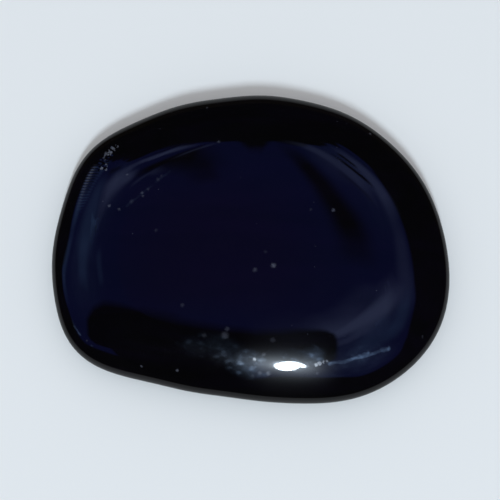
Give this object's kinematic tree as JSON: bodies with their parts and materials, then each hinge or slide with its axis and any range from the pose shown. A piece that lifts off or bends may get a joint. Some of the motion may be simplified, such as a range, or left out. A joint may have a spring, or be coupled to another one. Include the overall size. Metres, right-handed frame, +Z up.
{
  "type": "obsidian slice",
  "caption": "Polished slice of black obsidian: low domed glassy face, rounded edge, flat sawn back, uneven rounded outline.",
  "frame": {"origin": "on the flat back, under the middle of the bounding box", "axes": "+Z up through the domed face, +X along the longest side towards the round end, +Y towards the long curved side"},
  "size_m": [0.0466, 0.0372, 0.0071],
  "materials": {
    "polished_obsidian": "gloss"
  },
  "bodies": {
    "root": {"obsidian_slice": "polished_obsidian"}
  },
  "joints": []
}
